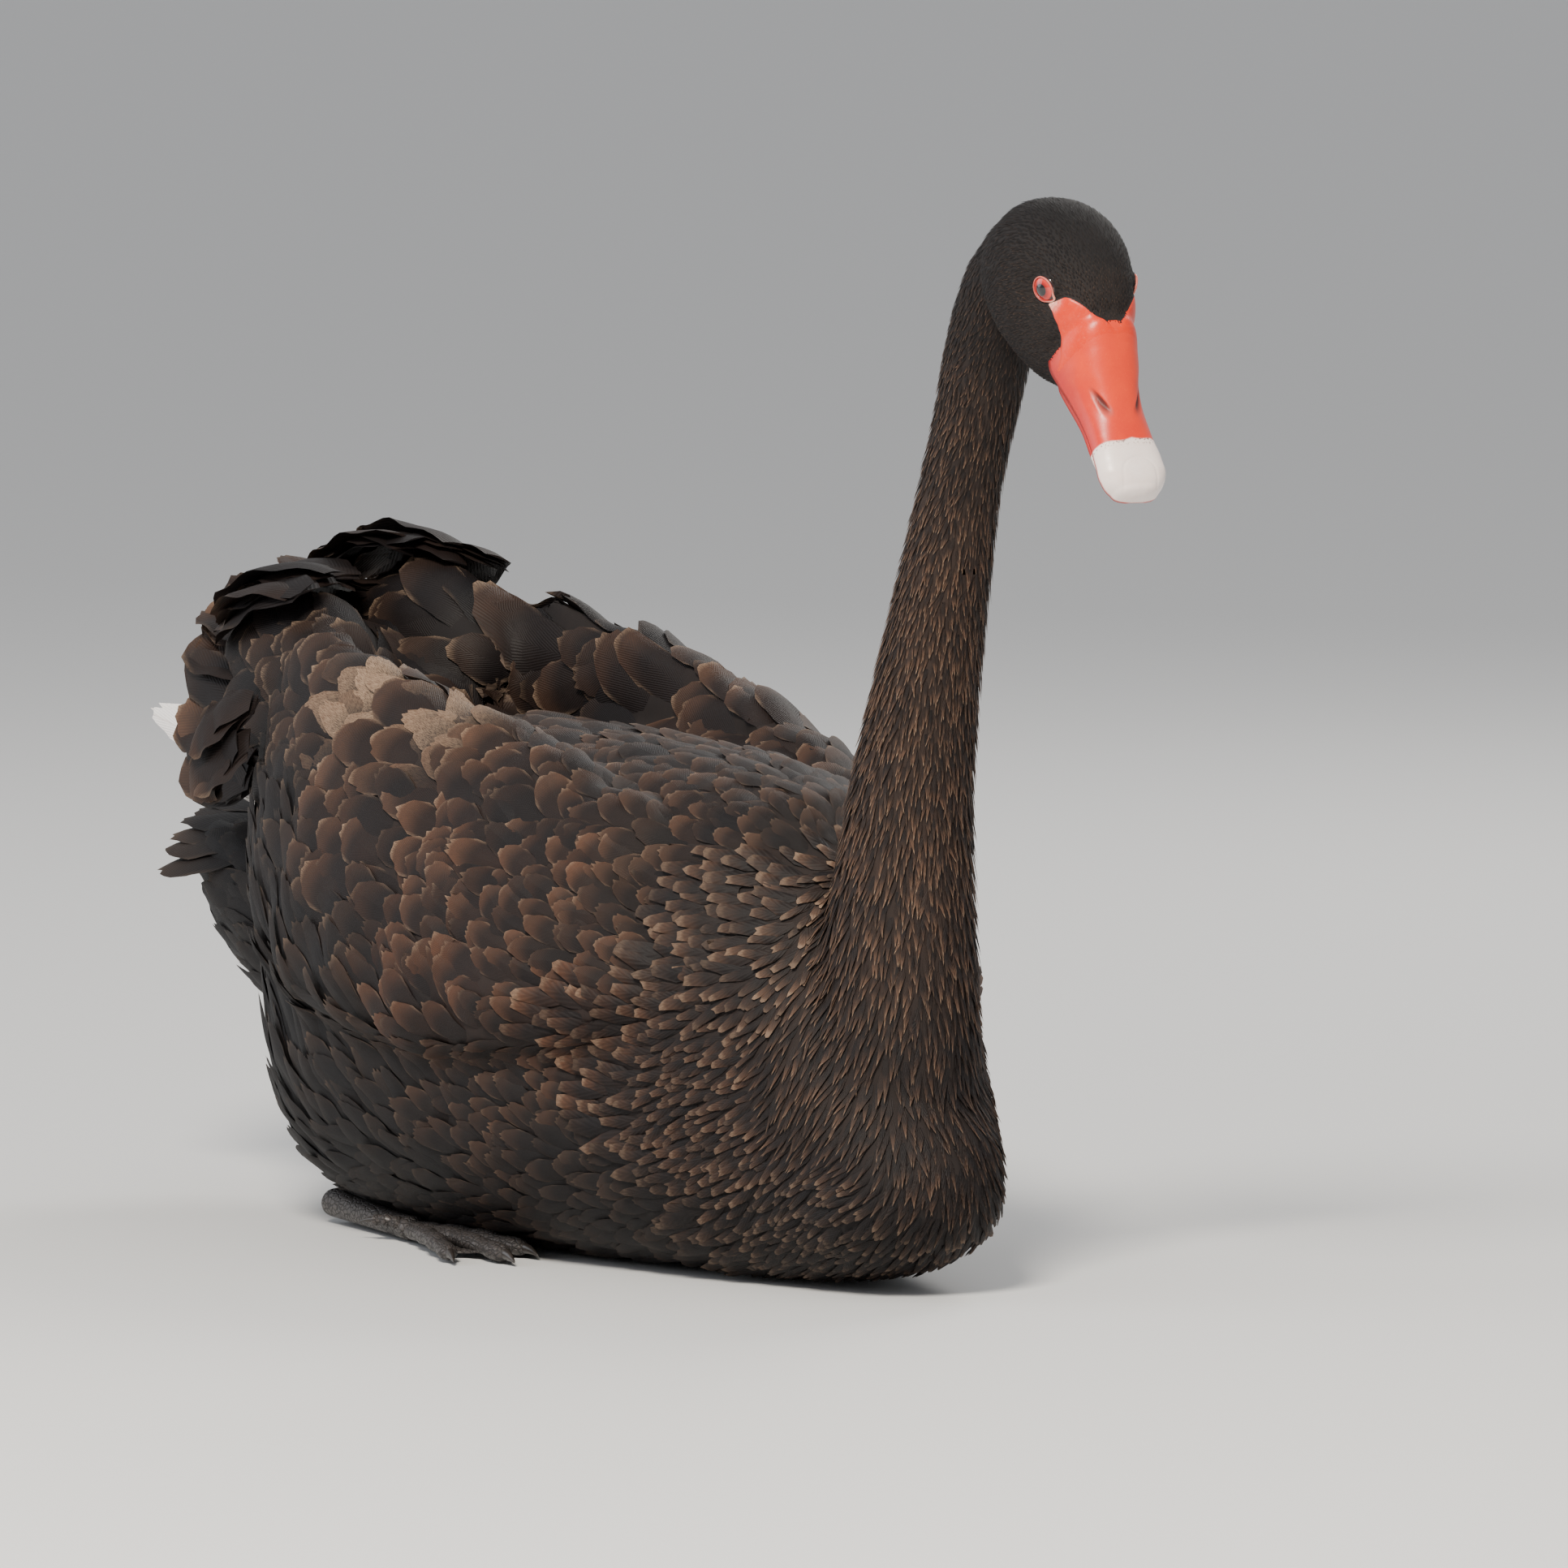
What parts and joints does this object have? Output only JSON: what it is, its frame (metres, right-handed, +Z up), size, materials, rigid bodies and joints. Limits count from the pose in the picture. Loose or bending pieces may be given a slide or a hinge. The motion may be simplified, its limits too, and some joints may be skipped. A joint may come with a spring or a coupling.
{
  "type": "life-size model of a black swan",
  "caption": "Still, life-size black swan resting on its belly, with raised neck, lowered red bill, folded wings and ruffled curled back feathers.",
  "frame": {"origin": "middle of the flat under the belly, at floor level", "axes": "+X forward along the body towards the bill, +Y to the bird's left, +Z up"},
  "size_m": [0.7164, 0.2539, 0.427],
  "materials": {
    "plumage": "soft brown-black feathers with paler worn edges",
    "flight_white": "white flight feathers",
    "bill": "glossy orange-red horn with a white band and nail",
    "eye": "wet red iris round a black pupil",
    "foot": "black scaled skin and webs"
  },
  "bodies": {
    "root": {"torso": "plumage", "neck_lower": "plumage", "neck_upper": "plumage", "head": "plumage", "bill_upper": "bill", "bill_lower": "bill", "eye_right": "eye", "eye_left": "eye", "wing_right": "plumage", "wing_left": "plumage", "tertials_right": "plumage", "tertials_left": "plumage", "primaries_right": "flight_white", "primaries_left": "flight_white", "tail": "plumage", "leg_right": "foot", "leg_left": "foot"}
  },
  "joints": []
}
